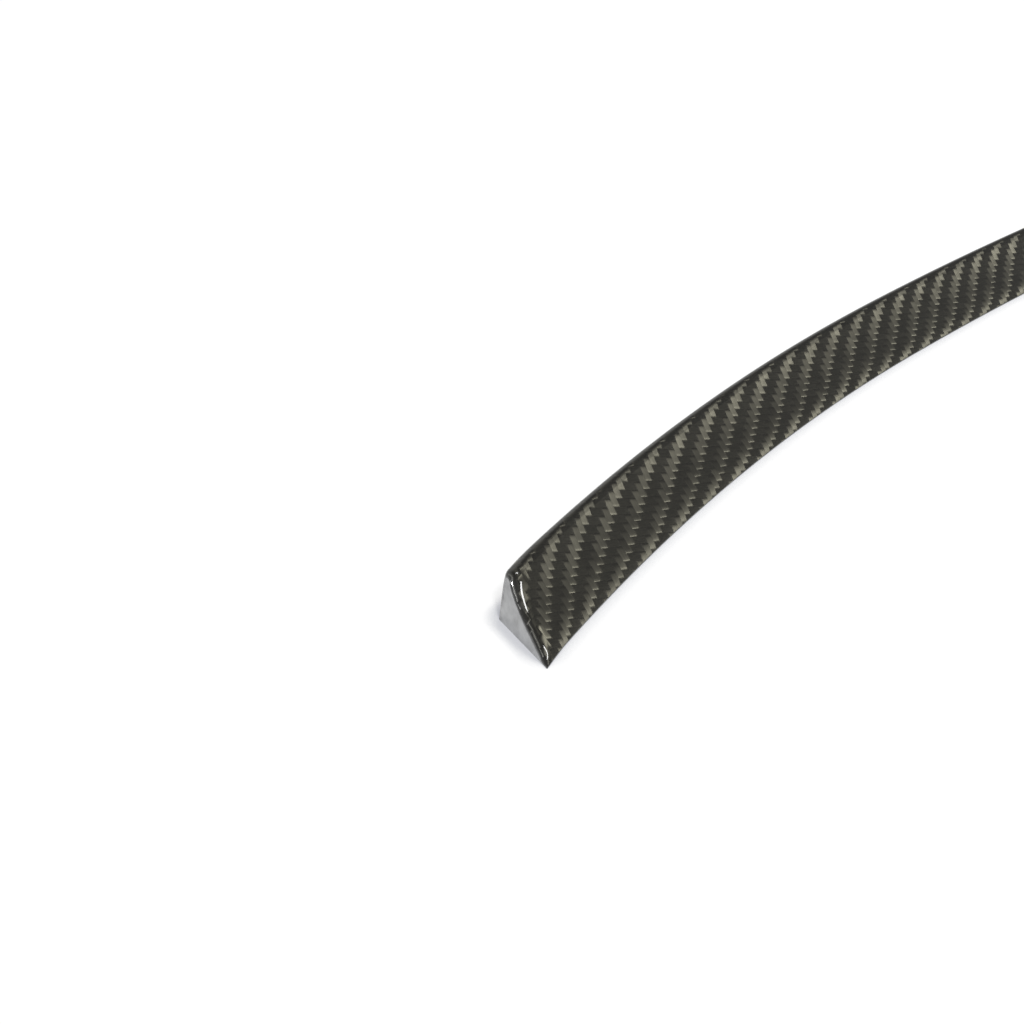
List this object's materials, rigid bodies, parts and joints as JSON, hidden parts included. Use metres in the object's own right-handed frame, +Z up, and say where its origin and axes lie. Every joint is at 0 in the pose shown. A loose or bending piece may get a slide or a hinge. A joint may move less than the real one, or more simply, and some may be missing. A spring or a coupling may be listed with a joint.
{
  "type": "gurney flap",
  "caption": "Slim bowed gurney flap for a boot lid's rear edge: a wedge with a hollow front ramp, rounded crest, closed ends and a flat bonding base, in lacquered twill carbon.",
  "frame": {"origin": "on the base plane, under the middle of the part's bounding box", "axes": "+X across the car, +Y rearward (the outside of the bow), +Z up; the base lies on Z = 0 and the ramp faces -Y"},
  "size_m": [1.074, 0.1367, 0.0116],
  "materials": {
    "lacquered_carbon": "gloss clear lacquer over 2x2 twill carbon cloth"
  },
  "bodies": {
    "root": {"flap": "lacquered_carbon"}
  },
  "joints": []
}
